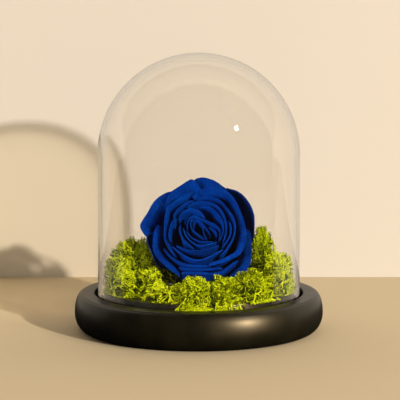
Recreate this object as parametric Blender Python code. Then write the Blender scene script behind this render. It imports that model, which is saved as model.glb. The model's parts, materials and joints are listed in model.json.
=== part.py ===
"""A blue preserved rose on reindeer moss under a glass bell, on a black turned base.

Metres, +Z up. The origin is the centre of the base's underside, and the rose faces -Y.
"""

from math import atan2, cos, pi, radians, sin
from typing import NamedTuple

import bmesh
import bpy
from mathutils import Matrix, Vector, noise
from mathutils.geometry import interpolate_bezier

MM = 0.001

# Base: one turned piece, with a plinth inside the groove that holds the glass
BASE_FOOT_RADIUS = 54.3 * MM
BASE_SIDE_RADIUS = 61.8 * MM
BASE_SIDE_HEIGHT = 9.4 * MM
BASE_RIDGE_RADIUS = 57.9 * MM
BASE_RIDGE_HEIGHT = 19.0 * MM
RIDGE_ROUND = 0.9 * MM
RIDGE_TURN = radians(80)
SIDE_FULLNESS = 0.9
GROOVE_OUTER_RADIUS = 51.9 * MM
GROOVE_EDGE_HEIGHT = 19.4 * MM
GROOVE_FLOOR_HEIGHT = 13.0 * MM
PLINTH_RADIUS = 46.5 * MM
PLINTH_HEIGHT = 21.3 * MM
PLINTH_CHAMFER = 0.5 * MM
SIDE_STEPS = 4
BASE_SEGMENTS = 48

# Glass bell: a straight wall under a half sphere, with a rounded rim
GLASS_RADIUS = 50.2 * MM
GLASS_WALL = 2.3 * MM
GLASS_SHOULDER_HEIGHT = 88.8 * MM
GLASS_SEGMENTS = 40
GLASS_ARC_STEPS = 8

# Clearance between pieces that rest on each other
GAP = 0.3 * MM

# Bloom: its own frame has its axis along +Z and its outer rims near height 0
BLOOM_CENTRE = Vector((-0.8, -5.0, 53.5)) * MM
BLOOM_RISE = radians(28)
PETAL_THICKNESS = 0.42 * MM
WALL_ROWS = 3
LIP_ROWS = 2
COLUMN_SWEEP = radians(19)
FEWEST_COLUMNS = 4

# A petal stands up from its narrow foot to the crest, then its lip curls outwards over the crest
FOOT_HALF_WIDTH = radians(11)
FOOT_TURN = radians(25)
BELLY_RISE = 0.15
TURN_EASE = 0.7
CREST_RISE = 0.6
LIP_TAPER = 0.45
LIP_TAPER_POWER = 4
DROP_POWER = 5
TANGENT_SPAN = 0.02

# Petal feet stand side by side on the sloping top of the hip
FOOT_FIRST_RADIUS = 1.2 * MM
FOOT_SPACING = 0.23 * MM
FOOT_HEIGHT = -27.0 * MM
FOOT_SLOPE = 1.1

# Hip and stem
HIP_TIP_RADIUS = 2.7 * MM
HIP_TOP_RADIUS = 7.6 * MM
HIP_EDGE = 0.8 * MM
HIP_RADIUS = 6.0 * MM
HIP_RADIUS_DEPTH = 3.6 * MM
HIP_DEPTH = 8.0 * MM
STEM_RADIUS = 2.4 * MM
STEM_SIDES = 10
STEM_BEND_RADIUS = 9.0 * MM
STEM_BEND_STEPS = 4

# Sepals lie flat under the bloom, around the hip
SEPALS = 5
SEPAL_LENGTH = 10.0 * MM
SEPAL_HALF_WIDTH = 3.0 * MM
SEPAL_TAPER = 0.9
SEPAL_TAPER_POWER = 1.5
SEPAL_THICKNESS = 0.6 * MM
SEPAL_DROOP = 2.2 * MM
SEPAL_DROOP_POWER = 3
SEPAL_TROUGH = 0.5 * MM
SEPAL_COLUMNS = 4
SEPAL_ROWS = 2

# Moss clumps: lumpy domes with a flat foot on the plinth
MOSS_SIDES = 12
MOSS_RINGS = 6
MOSS_FOOT = -0.45
MOSS_FULLNESS = 0.5
MOSS_LUMP = 0.1
MOSS_LUMP_SIZE = 1.4


class Petal(NamedTuple):
    """One petal, in mm along the bloom's axes: x to the right, y up, z to the viewer.

    top is the height of its rim, lip and curl the length and turn (in degrees) of its curved edge,
    belly how far it bulges near its foot, rim the points of its edge, counter-clockwise, and
    drops how far its first and its last corner sink.
    """

    top: float
    lip: float
    curl: float
    belly: float
    drops: tuple
    rim: tuple


class Clump(NamedTuple):
    """One clump of moss: its sector of the plinth, in degrees and radii, its height, and how far
    it narrows towards its top.
    """

    name: str
    start: float
    end: float
    inner: float
    outer: float
    height: float
    peak: float


# From the heart outwards, read off the photograph
PETALS = (
    Petal(5.2, 0.9, 60, 0.45, (3, 3), (
        (6.6, -4.2), (5.1, -2.2), (3.4, 0.0), (1.8, 1.7), (-0.1, 2.4), (-1.6, 1.6), (-2.1, -0.1),
        (-1.7, -1.9),
    )),
    Petal(5.4, 0.7, 50, 0.45, (3, 3), (
        (2.7, -1.3), (3.0, -3.5), (3.6, -5.5), (4.7, -6.9),
    )),
    Petal(4.6, 0.8, 50, 0.46, (3, 3), (
        (10.0, -4.0), (8.8, -2.5), (7.1, -1.4), (5.4, -0.3),
    )),
    Petal(5.8, 1.1, 65, 0.28, (3, 3), (
        (-1.0, 3.2), (-2.4, 2.9), (-3.3, 1.6), (-3.4, -0.4), (-2.5, -2.8), (-0.7, -4.5), (1.7, -6.1),
        (3.6, -6.8),
    )),
    Petal(6.2, 1.1, 65, 0.5, (3, 3), (
        (11.4, -5.0), (11.6, -3.3), (10.8, -1.6), (8.7, 0.1), (6.0, 1.4), (3.5, 2.3), (1.5, 3.2),
        (-0.2, 4.1), (-2.0, 4.3), (-3.8, 3.2), (-4.9, 1.3), (-5.1, -0.8), (-4.6, -2.7),
    )),
    Petal(6.6, 1.2, 60, 0.65, (3, 3), (
        (-5.7, -2.6), (-5.1, -4.1), (-4.1, -5.7), (-2.4, -7.4), (0.1, -8.8), (3.0, -9.4), (5.9, -9.2),
        (8.1, -8.2),
    )),
    Petal(7.2, 1.5, 75, 0.68, (3, 3), (
        (-8.6, 0.1), (-8.9, -2.4), (-8.6, -5.3), (-7.2, -8.1), (-5.2, -10.2), (-3.3, -11.7),
        (-1.4, -12.4),
    )),
    Petal(7.0, 1.5, 70, 0.57, (3, 3), (
        (-7.1, -1.4), (-6.8, -3.5), (-5.9, -5.9), (-4.2, -8.4), (-1.9, -10.3), (0.4, -11.4),
        (2.9, -11.6), (5.8, -11.0), (8.0, -10.0), (9.8, -8.5),
    )),
    Petal(7.4, 1.9, 70, 0.58, (3, 3), (
        (4.1, 3.2), (2.9, 4.9), (0.9, 6.5), (-1.6, 7.5), (-4.2, 7.4), (-6.6, 6.3), (-8.4, 4.7),
        (-9.2, 2.5),
    )),
    Petal(7.2, 1.4, 50, 0.6, (3, 3), (
        (11.1, -8.0), (12.7, -5.1), (13.1, -1.8), (12.3, 2.0), (10.1, 5.4), (7.8, 7.5), (5.8, 8.6),
        (3.7, 9.1), (0.9, 9.0),
    )),
    Petal(7.6, 2.0, 60, 0.62, (3, 2), (
        (13.1, -8.7), (14.3, -5.5), (14.7, -2.1), (14.4, 1.0), (13.6, 3.6), (12.3, 6.2), (10.4, 8.6),
        (7.9, 10.1), (4.4, 11.0), (0.9, 11.2), (-2.1, 10.5), (-4.8, 9.0),
    )),
    Petal(7.0, 1.0, 30, 0.6, (2, 2), (
        (-10.1, -10.4), (-7.8, -12.2), (-5.0, -13.3), (-2.0, -13.9), (1.9, -13.7), (5.4, -13.0),
        (8.3, -11.9), (10.6, -10.6),
    )),
    Petal(7.0, 1.5, 55, 0.68, (3, 3), (
        (12.5, -11.3), (15.0, -8.8), (16.5, -5.8), (16.9, -2.8), (16.3, 0.3), (15.0, 2.8),
    )),
    Petal(6.6, 2.4, 70, 0.66, (2, 1.5), (
        (-10.7, 3.7), (-12.5, 1.0), (-13.6, -2.0), (-14.0, -5.6), (-13.4, -8.5),
    )),
    Petal(6.8, 1.8, 60, 0.67, (1.5, 2), (
        (-1.6, 12.1), (-3.8, 11.6), (-6.4, 10.1), (-8.8, 8.2), (-10.7, 6.1), (-11.8, 4.1),
    )),
    Petal(6.0, 2.6, 65, 0.64, (3, 1.5), (
        (11.5, -15.4), (13.8, -13.8), (16.0, -11.3), (17.6, -8.4), (18.6, -5.5), (19.0, -2.5),
        (18.9, 0.2), (18.1, 3.3), (16.2, 6.4), (14.2, 9.1), (12.7, 11.0), (10.8, 12.6), (8.9, 13.5),
        (5.9, 14.2), (2.9, 14.2), (-0.1, 13.4),
    )),
    Petal(6.2, 2.2, 70, 0.67, (3, 3), (
        (-12.3, -10.7), (-10.2, -13.5), (-7.7, -15.7), (-5.2, -17.2), (-2.8, -18.4), (0.2, -18.9),
        (2.9, -18.6), (5.9, -17.3), (8.5, -15.9), (11.1, -13.9), (12.9, -12.3),
    )),
    Petal(3.8, 6.6, 75, 0.86, (0.5, 0.5), (
        (6.1, -20.5), (9.8, -19.7), (13.8, -18.4), (17.2, -17.0), (20.5, -15.1), (22.9, -11.8),
        (23.9, -7.6), (24.2, -2.9), (23.3, 1.5), (22.2, 5.2), (20.9, 8.5), (19.4, 11.9), (17.6, 15.0),
        (14.6, 17.6), (10.4, 19.2), (6.1, 19.7), (2.9, 18.9), (-0.1, 17.2), (-2.5, 14.9),
    )),
    Petal(4.6, 3.4, 80, 0.74, (4, 1.5), (
        (-1.3, 18.0), (-3.3, 17.0), (-6.8, 15.3), (-11.5, 12.1), (-14.8, 9.3), (-15.7, 5.7),
        (-16.3, 1.2), (-16.3, -3.9), (-16.1, -7.3), (-14.9, -10.2), (-13.1, -13.2), (-10.8, -15.8),
    )),
    Petal(2.4, 3.2, 85, 0.76, (3, 1), (
        (-16.6, -10.4), (-15.3, -13.3), (-12.9, -16.1), (-10.0, -18.6), (-6.8, -20.0), (-3.1, -20.6),
        (0.7, -20.8), (4.4, -20.6), (6.9, -20.2),
    )),
    Petal(1.8, 2.6, 85, 0.86, (2, 1), (
        (-9.0, -20.2), (-6.5, -21.5), (-3.5, -22.0), (0.7, -22.2), (4.4, -22.2), (7.8, -22.0),
        (10.6, -21.5), (12.5, -21.0),
    )),
    Petal(0.6, 8.4, 75, 0.76, (2.5, 1), (
        (1.9, 20.2), (0.4, 22.4), (-1.0, 23.7), (-2.8, 24.6), (-5.0, 23.5), (-8.5, 21.3),
        (-11.6, 19.3), (-13.5, 17.8), (-14.8, 15.3), (-15.7, 12.4), (-16.2, 9.6),
    )),
    Petal(1.4, 3.4, 85, 0.8, (2, 1), (
        (-7.7, -23.2), (-4.5, -23.7), (-0.6, -24.0), (2.9, -24.2), (6.4, -24.4), (9.8, -24.4),
        (12.5, -23.7), (15.0, -21.9), (17.5, -19.8), (20.2, -17.1),
    )),
    Petal(-0.6, 5.2, 115, 0.77, (1.5, 2), (
        (-19.4, 2.7), (-20.9, -0.5), (-21.7, -5.2), (-21.8, -9.8), (-20.6, -13.4), (-17.3, -17.3),
        (-13.4, -20.6), (-9.5, -23.0),
    )),
    Petal(-1.6, 8.6, 70, 0.76, (2.5, 3), (
        (16.1, 18.8), (14.4, 20.8), (12.1, 22.3), (9.6, 24.1), (6.6, 25.4), (3.0, 26.2), (0.4, 25.9),
        (-1.7, 25.0), (-3.8, 23.2),
    )),
    Petal(-3.2, 10.4, 80, 0.78, (2, 0.5), (
        (-10.5, 20.2), (-14.3, 19.7), (-18.7, 17.3), (-22.0, 14.0), (-24.4, 9.5), (-26.7, 5.9),
        (-28.1, 3.1), (-27.9, 1.2), (-26.7, -1.0), (-25.2, -2.9),
    )),
    Petal(-4.6, 2.0, 40, 0.76, (1, 2), (
        (-21.3, -1.6), (-23.2, -2.2), (-24.5, -3.8), (-24.2, -6.3), (-23.0, -9.1), (-21.3, -12.6),
    )),
    Petal(-3.2, 6.4, 110, 0.72, (2, 4), (
        (13.3, -24.4), (15.5, -25.7), (17.2, -26.4), (19.8, -24.2), (23.7, -21.0), (26.1, -16.8),
        (26.7, -12.0), (26.7, -7.0), (26.6, -2.5), (26.4, 2.0),
    )),
    Petal(-1.4, 2.4, 30, 0.81, (3, 1), (
        (27.9, -3.3), (28.2, 0.6), (28.3, 4.0), (28.1, 7.4), (26.4, 12.3), (23.4, 16.6), (20.1, 19.2),
        (17.1, 20.3), (14.6, 21.2),
    )),
)

MOSS_CLUMPS = (
    Clump("moss_right_edge", -26, 9, 32.0 * MM, 47.2 * MM, 18.5 * MM, 0.1),
    Clump("moss_right_tall", 10, 45, 24.5 * MM, 47.2 * MM, 30.0 * MM, 0.55),
    Clump("moss_back_right", 46, 84, 29.0 * MM, 46.8 * MM, 19.0 * MM, 0.2),
    Clump("moss_back", 96, 129, 28.0 * MM, 46.8 * MM, 17.0 * MM, 0.1),
    Clump("moss_back_left", 130, 176, 25.0 * MM, 47.2 * MM, 22.5 * MM, 0.0),
    Clump("moss_left_edge", 177, 214, 34.0 * MM, 47.2 * MM, 17.0 * MM, 0.1),
    Clump("moss_left_middle", 178, 217, 18.0 * MM, 33.4 * MM, 12.0 * MM, 0.2),
    Clump("moss_front_left", 230, 256, 29.0 * MM, 44.5 * MM, 6.5 * MM, 0.0),
    Clump("moss_front", 257, 278, 27.0 * MM, 47.0 * MM, 12.0 * MM, 0.0),
    Clump("moss_front_right", 279, 299, 26.8 * MM, 47.0 * MM, 12.0 * MM, 0.0),
    Clump("moss_right", 300, 325, 27.5 * MM, 47.0 * MM, 14.5 * MM, 0.1),
    Clump("moss_right_middle", 326, 369, 20.5 * MM, 31.4 * MM, 8.0 * MM, 0.0),
    Clump("moss_under_bloom", 222, 324, 12.0 * MM, 26.2 * MM, 6.0 * MM, 0.0),
)


def srgb(hex_colour):
    """Linear RGBA of an sRGB hex colour."""
    channels = [int(hex_colour[i : i + 2], 16) / 255 for i in (1, 3, 5)]
    linear = [c / 12.92 if c <= 0.04045 else ((c + 0.055) / 1.055) ** 2.4 for c in channels]
    return (*linear, 1.0)


def make_material(name, colour, roughness, metallic=0.0, transmission=0.0):
    material = bpy.data.materials.new(name)
    material.use_nodes = True
    shader = material.node_tree.nodes["Principled BSDF"]
    shader.inputs["Base Color"].default_value = srgb(colour)
    shader.inputs["Roughness"].default_value = roughness
    shader.inputs["Metallic"].default_value = metallic
    shader.inputs["Transmission Weight"].default_value = transmission
    material.diffuse_color = srgb(colour)
    return material


def add_object(name, mesh, material, smooth_angle=radians(40)):
    """Turns a bmesh into a named object with its material, shaded smooth up to an angle."""
    data = bpy.data.meshes.new(name)
    mesh.to_mesh(data)
    mesh.free()
    data.materials.append(material)
    data.shade_smooth()
    data.set_sharp_from_angle(angle=smooth_angle)
    piece = bpy.data.objects.new(name, data)
    bpy.context.collection.objects.link(piece)
    return piece


def turned(name, profile, segments, material):
    """Closed solid of revolution about Z, from a profile that starts and ends on the axis."""
    mesh = bmesh.new()
    verts = [mesh.verts.new((radius, 0, height)) for radius, height in profile]
    edges = [mesh.edges.new(pair) for pair in zip(verts, verts[1:])]
    bmesh.ops.spin(
        mesh,
        geom=verts + edges,
        cent=(0, 0, 0),
        axis=(0, 0, 1),
        angle=2 * pi,
        steps=segments,
        use_merge=True,
    )
    bmesh.ops.remove_doubles(mesh, verts=mesh.verts, dist=1e-6)
    bmesh.ops.recalc_face_normals(mesh, faces=mesh.faces)
    return add_object(name, mesh, material)


def make_base():
    """The turned base, from the middle of its underside round to the middle of the plinth."""
    profile = [(0, 0), (BASE_FOOT_RADIUS, 0)]
    for step in range(1, SIDE_STEPS + 1):
        turn = pi / 2 * (1 - step / SIDE_STEPS)
        spread = (BASE_SIDE_RADIUS - BASE_FOOT_RADIUS) * cos(turn) ** SIDE_FULLNESS
        profile.append((BASE_FOOT_RADIUS + spread, BASE_SIDE_HEIGHT * (1 - sin(turn))))
    rise = BASE_RIDGE_HEIGHT - BASE_SIDE_HEIGHT
    for step in range(1, SIDE_STEPS + 1):
        turn = RIDGE_TURN * step / SIDE_STEPS
        spread = (BASE_SIDE_RADIUS - BASE_RIDGE_RADIUS) * cos(turn) ** SIDE_FULLNESS
        profile.append((BASE_RIDGE_RADIUS + spread, BASE_SIDE_HEIGHT + rise * sin(turn)))
    profile += [
        (BASE_RIDGE_RADIUS - RIDGE_ROUND, BASE_RIDGE_HEIGHT),
        (GROOVE_OUTER_RADIUS, GROOVE_EDGE_HEIGHT),
        (GROOVE_OUTER_RADIUS, GROOVE_FLOOR_HEIGHT),
        (PLINTH_RADIUS, GROOVE_FLOOR_HEIGHT),
        (PLINTH_RADIUS, PLINTH_HEIGHT - PLINTH_CHAMFER),
        (PLINTH_RADIUS - PLINTH_CHAMFER, PLINTH_HEIGHT),
        (0, PLINTH_HEIGHT),
    ]
    return turned("base", profile, BASE_SEGMENTS, make_material("black_lacquer", "#15120e", 0.32))


def make_glass():
    """The glass bell: outer skin down from the top, round the rim and up the inner skin."""
    inner_radius = GLASS_RADIUS - GLASS_WALL
    rim_radius = GLASS_WALL / 2
    rim_height = GROOVE_FLOOR_HEIGHT + GAP + rim_radius
    quarter = [pi / 2 * step / GLASS_ARC_STEPS for step in range(GLASS_ARC_STEPS + 1)]
    outer = [(GLASS_RADIUS * sin(a), GLASS_SHOULDER_HEIGHT + GLASS_RADIUS * cos(a)) for a in quarter]
    inner = [(inner_radius * sin(a), GLASS_SHOULDER_HEIGHT + inner_radius * cos(a)) for a in quarter]
    rim_middle = GLASS_RADIUS - rim_radius
    rim = [
        (rim_middle + rim_radius * cos(a), rim_height - rim_radius * sin(a))
        for a in (pi * step / 4 for step in range(5))
    ]
    profile = outer + rim + inner[::-1]
    profile[0] = (0, profile[0][1])
    profile[-1] = (0, profile[-1][1])
    glass = make_material("clear_glass", "#f7f4ee", 0.02, transmission=1.0)
    return turned("glass_dome", profile, GLASS_SEGMENTS, glass)


def spline_point(corners, share):
    """Point of a Catmull-Rom curve through the corners, share running from 0 to 1 by length."""
    lengths = [(b - a).length for a, b in zip(corners, corners[1:])]
    goal = share * sum(lengths)
    index = 0
    while index < len(lengths) - 1 and goal > lengths[index]:
        goal -= lengths[index]
        index += 1
    t = goal / lengths[index]
    p1, p2 = corners[index], corners[index + 1]
    p0 = corners[index - 1] if index else 2 * p1 - p2
    p3 = corners[index + 2] if index + 2 < len(corners) else 2 * p2 - p1
    return 0.5 * (
        2 * p1
        + (p2 - p0) * t
        + (2 * p0 - 5 * p1 + 4 * p2 - p3) * t**2
        + (3 * p1 - p0 - 3 * p2 + p3) * t**3
    )


def petal_columns(corners):
    """How many faces a petal needs across, from how far its rim turns."""
    runs = [b - a for a, b in zip(corners, corners[1:])]
    sweep = sum(abs(a.angle_signed(b)) for a, b in zip(runs, runs[1:]))
    return max(FEWEST_COLUMNS, round(sweep / COLUMN_SWEEP))


def petal_column(petal, corners, order, u):
    """Points from foot to rim of one column of a petal, for u across it (-1 to 1)."""
    share = (u + 1) / 2
    rim = spline_point(corners, share)
    ahead = spline_point(corners, min(1, share + TANGENT_SPAN))
    tangent = ahead - spline_point(corners, max(0, share - TANGENT_SPAN))
    outwards = Vector((tangent.y, -tangent.x)).normalized()
    curl = radians(petal.curl)
    bend = petal.lip * MM * (1 - LIP_TAPER * abs(u) ** LIP_TAPER_POWER) / curl
    crest = rim - outwards * bend * (1 - cos(curl))
    drop = petal.drops[u > 0] * abs(u) ** DROP_POWER
    crest_height = (petal.top - drop) * MM - bend * sin(min(curl, pi / 2))

    foot_radius = FOOT_FIRST_RADIUS + FOOT_SPACING * order
    foot_height = FOOT_HEIGHT - FOOT_SLOPE * (foot_radius - FOOT_FIRST_RADIUS)
    middle = spline_point(corners, 0.5)
    heading = atan2(middle.y, middle.x)
    foot_turn = (order % 3 - 1) * FOOT_TURN + u * FOOT_HALF_WIDTH
    crest_turn = crest.angle_signed(middle)
    radius, rise = crest.length, crest_height - foot_height
    # Radius, turn and height go together along the wall, so that petals lie in each other
    curve = (
        Vector((foot_radius, foot_turn, foot_height)),
        Vector((
            foot_radius + petal.belly * (radius - foot_radius),
            foot_turn + TURN_EASE * (crest_turn - foot_turn),
            foot_height + BELLY_RISE * rise,
        )),
        Vector((radius, crest_turn, foot_height + CREST_RISE * rise)),
        Vector((radius, crest_turn, crest_height)),
    )
    points = []
    for at_radius, turn, height in interpolate_bezier(*curve, WALL_ROWS + 1):
        turn += heading
        points.append(Vector((at_radius * cos(turn), at_radius * sin(turn), height)))
    for row in range(1, LIP_ROWS + 1):
        angle = curl * row / LIP_ROWS
        side = outwards * bend * (1 - cos(angle))
        points.append(Vector((*(crest + side), crest_height + bend * sin(angle))))
    return points


def bloom_matrix():
    """Turns the bloom's axis from +Z to the viewer, a little upwards."""
    return Matrix.Translation(BLOOM_CENTRE) @ Matrix.Rotation(pi / 2 - BLOOM_RISE, 4, "X")


def solidified(name, mesh, thickness, material):
    piece = add_object(name, mesh, material)
    wall = piece.modifiers.new("wall", "SOLIDIFY")
    wall.thickness = thickness
    wall.offset = 0
    wall.use_even_offset = True
    return piece


def make_petals():
    velvet = make_material("blue_petal", "#0a3a9e", 0.6)
    rows = WALL_ROWS + LIP_ROWS
    pieces = []
    for order, petal in enumerate(PETALS):
        corners = [Vector(corner) * MM for corner in petal.rim]
        columns = petal_columns(corners)
        mesh = bmesh.new()
        bmesh.ops.create_grid(mesh, x_segments=columns, y_segments=rows, size=1)
        for vert in mesh.verts:
            column = petal_column(petal, corners, order, vert.co.x)
            vert.co = column[round((vert.co.y + 1) / 2 * rows)]
        mesh.transform(bloom_matrix())
        pieces.append(solidified(f"petal_{order + 1:02d}", mesh, PETAL_THICKNESS, velvet))
    return pieces


def make_stem():
    """The hip, turned about the bloom's axis, and the stem that bends down to the plinth."""
    green = make_material("stem_green", "#4c5a22", 0.6)
    top = FOOT_HEIGHT - PETAL_THICKNESS - GAP
    shoulder = top - FOOT_SLOPE * HIP_TOP_RADIUS
    end = shoulder - HIP_DEPTH
    rings = [
        (HIP_TIP_RADIUS, top - FOOT_SLOPE * HIP_TIP_RADIUS),
        (HIP_TOP_RADIUS, shoulder),
        (HIP_TOP_RADIUS, shoulder - HIP_EDGE),
        (HIP_RADIUS, shoulder - HIP_RADIUS_DEPTH),
        (STEM_RADIUS, end),
    ]
    frame = bloom_matrix()
    mesh = bmesh.new()

    def add_ring(centre, side, up, radius):
        turns = [2 * pi * step / STEM_SIDES for step in range(STEM_SIDES)]
        return [mesh.verts.new(centre + radius * (side * cos(a) + up * sin(a))) for a in turns]

    side = Vector((1, 0, 0))
    up = frame.to_3x3() @ Vector((0, 1, 0))
    loops = [add_ring(frame @ Vector((0, 0, height)), side, up, radius) for radius, height in rings]
    start = frame @ Vector((0, 0, end))
    bend_centre = start - up * STEM_BEND_RADIUS
    for step in range(1, STEM_BEND_STEPS + 1):
        turn = Matrix.Rotation(-(pi / 2 - BLOOM_RISE) * step / STEM_BEND_STEPS, 3, "X")
        leaning = turn @ up
        loops.append(add_ring(bend_centre + leaning * STEM_BEND_RADIUS, side, leaning, STEM_RADIUS))
    last = bend_centre + leaning * STEM_BEND_RADIUS
    foot = Vector((last.x, last.y, PLINTH_HEIGHT + GAP))
    loops.append(add_ring(foot, side, leaning, STEM_RADIUS))
    for lower, upper in zip(loops, loops[1:]):
        for i in range(STEM_SIDES):
            j = (i + 1) % STEM_SIDES
            mesh.faces.new((lower[i], lower[j], upper[j], upper[i]))
    tip = mesh.verts.new(frame @ Vector((0, 0, top)))
    for i in range(STEM_SIDES):
        mesh.faces.new((tip, loops[0][(i + 1) % STEM_SIDES], loops[0][i]))
    mesh.faces.new(loops[-1])
    bmesh.ops.recalc_face_normals(mesh, faces=mesh.faces)
    return add_object("stem", mesh, green)


def make_sepals():
    """Five pointed sepals around the hip, flat under the bloom with drooping tips."""
    green = make_material("sepal_green", "#56662a", 0.65)
    frame = bloom_matrix()
    height = FOOT_HEIGHT - FOOT_SLOPE * HIP_TOP_RADIUS - PETAL_THICKNESS - 4 * GAP
    pieces = []
    for index in range(SEPALS):
        mesh = bmesh.new()
        bmesh.ops.create_grid(mesh, x_segments=SEPAL_COLUMNS, y_segments=SEPAL_ROWS, size=1)
        for vert in mesh.verts:
            along = (vert.co.x + 1) / 2
            width = SEPAL_HALF_WIDTH * (1 - SEPAL_TAPER * along**SEPAL_TAPER_POWER)
            radius = HIP_TOP_RADIUS + 2 * GAP + SEPAL_LENGTH * along
            bend = SEPAL_TROUGH * vert.co.y**2 - SEPAL_DROOP * along**SEPAL_DROOP_POWER
            vert.co = Vector((radius, width * vert.co.y, height + bend))
        mesh.transform(frame @ Matrix.Rotation(pi / 2 + 2 * pi * index / SEPALS, 4, "Z"))
        pieces.append(solidified(f"sepal_{index + 1}", mesh, SEPAL_THICKNESS, green))
    return pieces


def fuller(share):
    """Pushes a unit sphere's coordinate outwards, towards a box's."""
    return share if share == 0 else share / abs(share) * abs(share) ** MOSS_FULLNESS


def blend(low, high, share):
    """Value between low and high for a share that runs from -1 to 1."""
    return (low + high) / 2 + share * (high - low) / 2


def make_moss():
    """Lumpy clumps side by side on the plinth, each filling its own sector."""
    moss = make_material("reindeer_moss", "#b4c32a", 0.9)
    pieces = []
    for order, clump in enumerate(MOSS_CLUMPS):
        mesh = bmesh.new()
        bmesh.ops.create_uvsphere(mesh, u_segments=MOSS_SIDES, v_segments=MOSS_RINGS, radius=1)
        for vert in mesh.verts:
            pattern = MOSS_LUMP_SIZE * vert.co + Vector((0, 0, 10 * order))
            lump = 1 - MOSS_LUMP * (0.5 + 0.5 * noise.noise(pattern))
            level = (max(vert.co.z * lump, MOSS_FOOT) - MOSS_FOOT) / (1 - MOSS_FOOT)
            reach = lump * (1 - clump.peak * level)
            turn = radians(blend(clump.start, clump.end, -fuller(vert.co.x) * reach))
            radius = blend(clump.inner, clump.outer, fuller(vert.co.y) * reach)
            height = PLINTH_HEIGHT + GAP + clump.height * level
            vert.co = Vector((radius * cos(turn), radius * sin(turn), height))
        pieces.append(add_object(clump.name, mesh, moss, radians(60)))
    return pieces


def main():
    for old in list(bpy.data.objects):
        bpy.data.objects.remove(old)
    make_base()
    make_glass()
    make_petals()
    make_stem()
    make_sepals()
    make_moss()


main()
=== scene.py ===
"""The looks of a blue preserved rose on reindeer moss under a glass bell, around its solids."""

import json
import random
from math import atan2, cos, pi, radians, sin
from typing import NamedTuple

import bmesh
import bpy
import numpy as np
from bpy.props import (
    FloatProperty,
    FloatVectorProperty,
    IntProperty,
    PointerProperty,
)
from mathutils import Matrix, Vector, noise

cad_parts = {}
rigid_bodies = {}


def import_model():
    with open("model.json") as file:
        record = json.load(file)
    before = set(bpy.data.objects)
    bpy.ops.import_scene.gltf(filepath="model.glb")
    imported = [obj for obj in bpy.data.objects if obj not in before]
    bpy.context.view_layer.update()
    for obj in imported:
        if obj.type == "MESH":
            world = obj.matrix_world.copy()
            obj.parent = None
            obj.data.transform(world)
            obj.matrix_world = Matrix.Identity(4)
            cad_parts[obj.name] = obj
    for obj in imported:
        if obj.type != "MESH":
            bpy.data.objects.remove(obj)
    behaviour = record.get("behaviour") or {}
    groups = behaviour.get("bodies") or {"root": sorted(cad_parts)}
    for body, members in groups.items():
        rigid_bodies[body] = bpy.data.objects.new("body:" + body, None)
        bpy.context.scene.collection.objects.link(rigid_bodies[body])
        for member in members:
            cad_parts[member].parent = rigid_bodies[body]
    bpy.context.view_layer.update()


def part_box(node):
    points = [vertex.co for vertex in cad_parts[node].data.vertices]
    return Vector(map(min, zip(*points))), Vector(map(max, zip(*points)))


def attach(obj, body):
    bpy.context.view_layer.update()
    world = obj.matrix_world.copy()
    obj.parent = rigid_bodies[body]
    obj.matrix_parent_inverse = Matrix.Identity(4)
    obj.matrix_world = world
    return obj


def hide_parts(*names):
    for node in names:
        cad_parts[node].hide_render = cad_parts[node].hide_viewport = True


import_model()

bl_info = {
    "name": "Preserved Rose in Glass Dome",
    "version": (1, 0, 0),
    "blender": (4, 5, 0),
    "location": "View3D > Sidebar > Rose Dome",
    "description": "Builds a blue preserved rose on reindeer moss under a glass bell",
    "category": "Add Mesh",
}

MM = 0.001


def box_size(node):
    low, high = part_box(node)
    return [high[axis] - low[axis] for axis in range(3)]


# The turned base and the glass bell, read off their solids where a box shows the size
BASE_SIDE_RADIUS = box_size("base")[0] / 2
PLINTH_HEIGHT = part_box("base")[1][2]
GLASS_RADIUS = box_size("glass_dome")[0] / 2
GLASS_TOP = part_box("glass_dome")[1][2]
GLASS_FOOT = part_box("glass_dome")[0][2]
GLASS_WALL = 2.3 * MM
GLASS_SHOULDER_HEIGHT = GLASS_TOP - GLASS_RADIUS
GLASS_SEGMENTS = 160
GLASS_ARC_STEPS = 40
GLASS_RIM_STEPS = 10
GLASS_IOR = 1.45
# How fast the share of light that a skin turns away grows towards a grazing look
GRAZING_POWER = 5

BASE_FOOT_RADIUS = 54.3 * MM
BASE_SIDE_HEIGHT = 9.4 * MM
BASE_RIDGE_RADIUS = 57.9 * MM
BASE_RIDGE_HEIGHT = 19.0 * MM
RIDGE_ROUND = 1.1 * MM
RIDGE_INSET = 0.3 * MM
RIDGE_TURN = radians(76)
EDGE_EASE = 0.6 * MM
GROOVE_OUTER_RADIUS = 51.9 * MM
GROOVE_EDGE_HEIGHT = 19.4 * MM
GROOVE_FLOOR_HEIGHT = 13.0 * MM
PLINTH_RADIUS = 46.5 * MM
SIDE_STEPS = 20
SIDE_FULLNESS = 0.9
BASE_SEGMENTS = 192
EDGE_STEPS = 5

GAP = 0.3 * MM
PETAL_CLEARANCE = 0.8 * MM

# The petals' feet stand on the sloping top of the hip, as in the solids
FOOT_HALF_WIDTH = radians(11)
FOOT_TURN = radians(25)
FOOT_FIRST_RADIUS = 1.2 * MM
FOOT_SPACING = 0.23 * MM
FOOT_HEIGHT = -27.0 * MM
FOOT_SLOPE = 1.1
BELLY_RISE = 0.15
TURN_EASE = 0.7
CREST_RISE = 0.6
LIP_TAPER = 0.45
LIP_TAPER_POWER = 4
LIP_FROM = 0.6
DROP_POWER = 5
TANGENT_SPAN = 0.02
# Slow changes of the curl and quick ones of the rim's height, along the rim
CURL_WAVER = 0.2
CURL_WAVES = 2.2
RIM_RIPPLE = 0.35
RIM_RIPPLES = 7.0
PETAL_SEED = 7.3

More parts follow.
